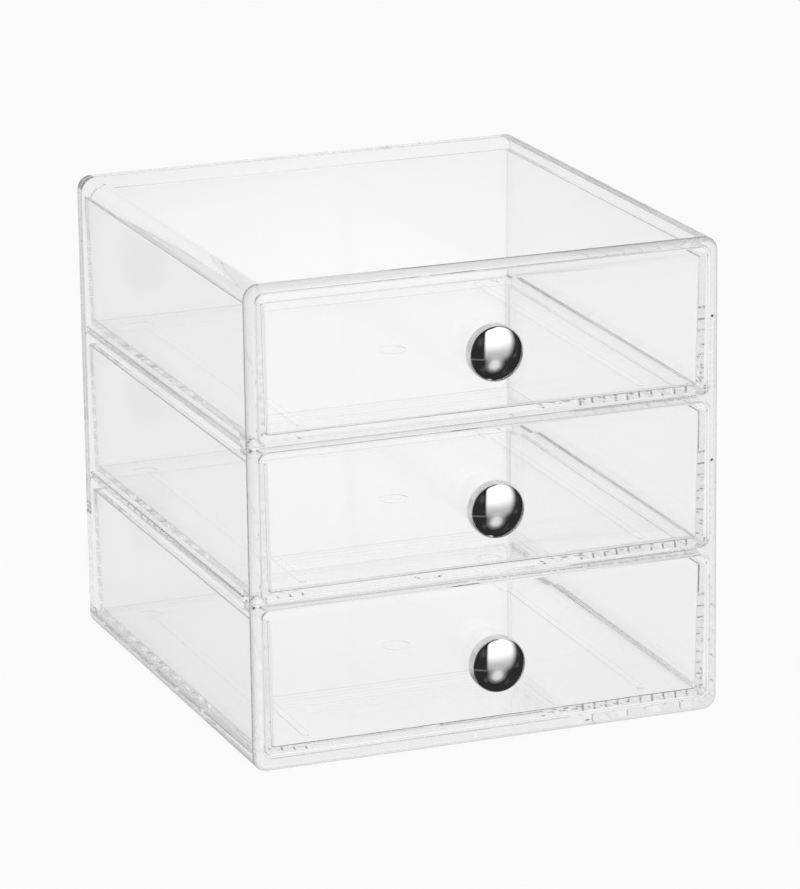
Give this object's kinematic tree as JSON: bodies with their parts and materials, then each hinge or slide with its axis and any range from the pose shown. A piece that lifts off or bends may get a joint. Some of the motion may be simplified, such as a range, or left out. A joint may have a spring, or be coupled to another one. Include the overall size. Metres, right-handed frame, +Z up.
{
  "type": "drawer organizer",
  "caption": "Clear moulded tabletop box whose stacked see-through drawers slide out of its front, each pulled by a round chrome knob.",
  "frame": {"origin": "centre of the flat face that the case stands on", "axes": "+Z up, drawer fronts face -Y, X across the width, so the drawers open along -Y"},
  "size_m": [0.165, 0.1846, 0.163],
  "materials": {
    "clear_case": "clear, polished moulding",
    "clear_shelf": "clear, polished plate",
    "clear_drawer": "clear, polished moulding",
    "knob_chrome": "mirror polished",
    "washer_nylon": "natural translucent",
    "screw_steel": "bright zinc"
  },
  "bodies": {
    "case": {"case_shell": "clear_case", "case_back": "clear_case", "shelf_lower": "clear_shelf", "shelf_upper": "clear_shelf"},
    "drawer_bottom_body": {"drawer_bottom": "clear_drawer", "knob_bottom": "knob_chrome", "knob_washer_bottom": "washer_nylon", "knob_screw_bottom": "screw_steel"},
    "drawer_middle_body": {"drawer_middle": "clear_drawer", "knob_middle": "knob_chrome", "knob_washer_middle": "washer_nylon", "knob_screw_middle": "screw_steel"},
    "drawer_top_body": {"drawer_top": "clear_drawer", "knob_top": "knob_chrome", "knob_washer_top": "washer_nylon", "knob_screw_top": "screw_steel"}
  },
  "joints": [
    {"name": "drawer_bottom_slide", "type": "slide", "parent": "case", "child": "drawer_bottom_body", "axis": [0, -1, 0], "range_m": [0, 0.135]},
    {"name": "drawer_middle_slide", "type": "slide", "parent": "case", "child": "drawer_middle_body", "axis": [0, -1, 0], "range_m": [0, 0.135]},
    {"name": "drawer_top_slide", "type": "slide", "parent": "case", "child": "drawer_top_body", "axis": [0, -1, 0], "range_m": [0, 0.135]}
  ]
}
